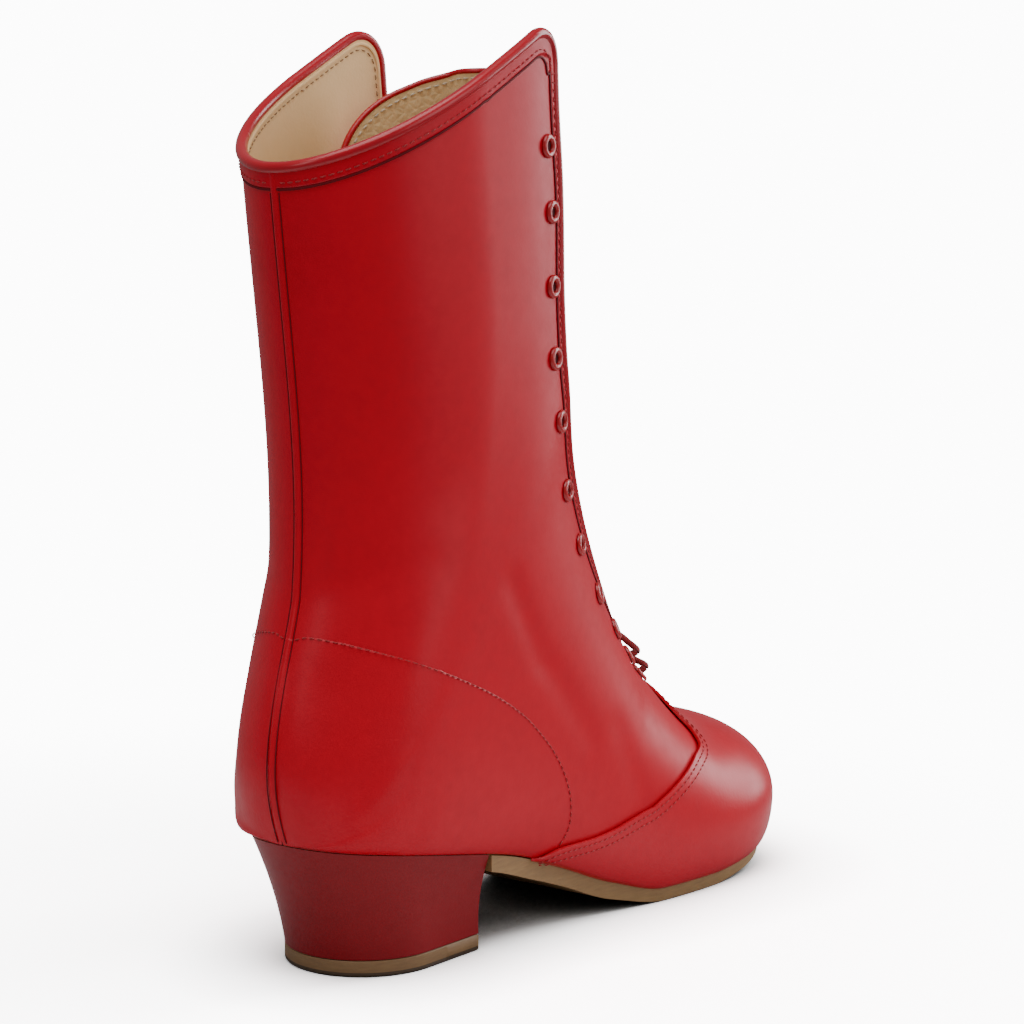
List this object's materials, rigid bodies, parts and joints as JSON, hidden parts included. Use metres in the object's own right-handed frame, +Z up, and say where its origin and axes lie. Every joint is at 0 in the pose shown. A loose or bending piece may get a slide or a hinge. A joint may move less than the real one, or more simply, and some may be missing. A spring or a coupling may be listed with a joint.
{
  "type": "dance boot",
  "caption": "Lace-up leather dance boot with a tall shaft, open throat, fold-out tongue, curved vamp seam and a low block heel.",
  "frame": {"origin": "on the floor under the middle of the heel's top piece", "axes": "+Z up, toe towards -Y, inner side of the foot towards +X, outer side towards -X"},
  "size_m": [0.0897, 0.2389, 0.2885],
  "materials": {
    "red_leather": "satin smooth leather",
    "tongue_leather": "soft crinkled lining over red leather",
    "lining_leather": "matte lining leather",
    "sole_leather": "matte bare leather",
    "heel_leather": "satin leather-covered heel",
    "top_piece": "matte",
    "binding": "glossy rolled edge",
    "eyelet_enamel": "gloss enamel",
    "lace": "woven cord"
  },
  "bodies": {
    "root": {"upper": "red_leather", "vamp": "red_leather", "tongue": "tongue_leather", "insole": "lining_leather", "outsole": "sole_leather", "heel": "heel_leather", "heel_top_piece": "top_piece", "edge_binding": "binding", "eyelet_outer_01": "eyelet_enamel", "eyelet_outer_02": "eyelet_enamel", "eyelet_outer_03": "eyelet_enamel", "eyelet_outer_04": "eyelet_enamel", "eyelet_outer_05": "eyelet_enamel", "eyelet_outer_06": "eyelet_enamel", "eyelet_outer_07": "eyelet_enamel", "eyelet_outer_08": "eyelet_enamel", "eyelet_outer_09": "eyelet_enamel", "eyelet_outer_10": "eyelet_enamel", "eyelet_outer_11": "eyelet_enamel", "eyelet_inner_01": "eyelet_enamel", "eyelet_inner_02": "eyelet_enamel", "eyelet_inner_03": "eyelet_enamel", "eyelet_inner_04": "eyelet_enamel", "eyelet_inner_05": "eyelet_enamel", "eyelet_inner_06": "eyelet_enamel", "eyelet_inner_07": "eyelet_enamel", "eyelet_inner_08": "eyelet_enamel", "eyelet_inner_09": "eyelet_enamel", "eyelet_inner_10": "eyelet_enamel", "eyelet_inner_11": "eyelet_enamel", "lace_bar_1": "lace", "lace_bar_2": "lace"}
  },
  "joints": []
}
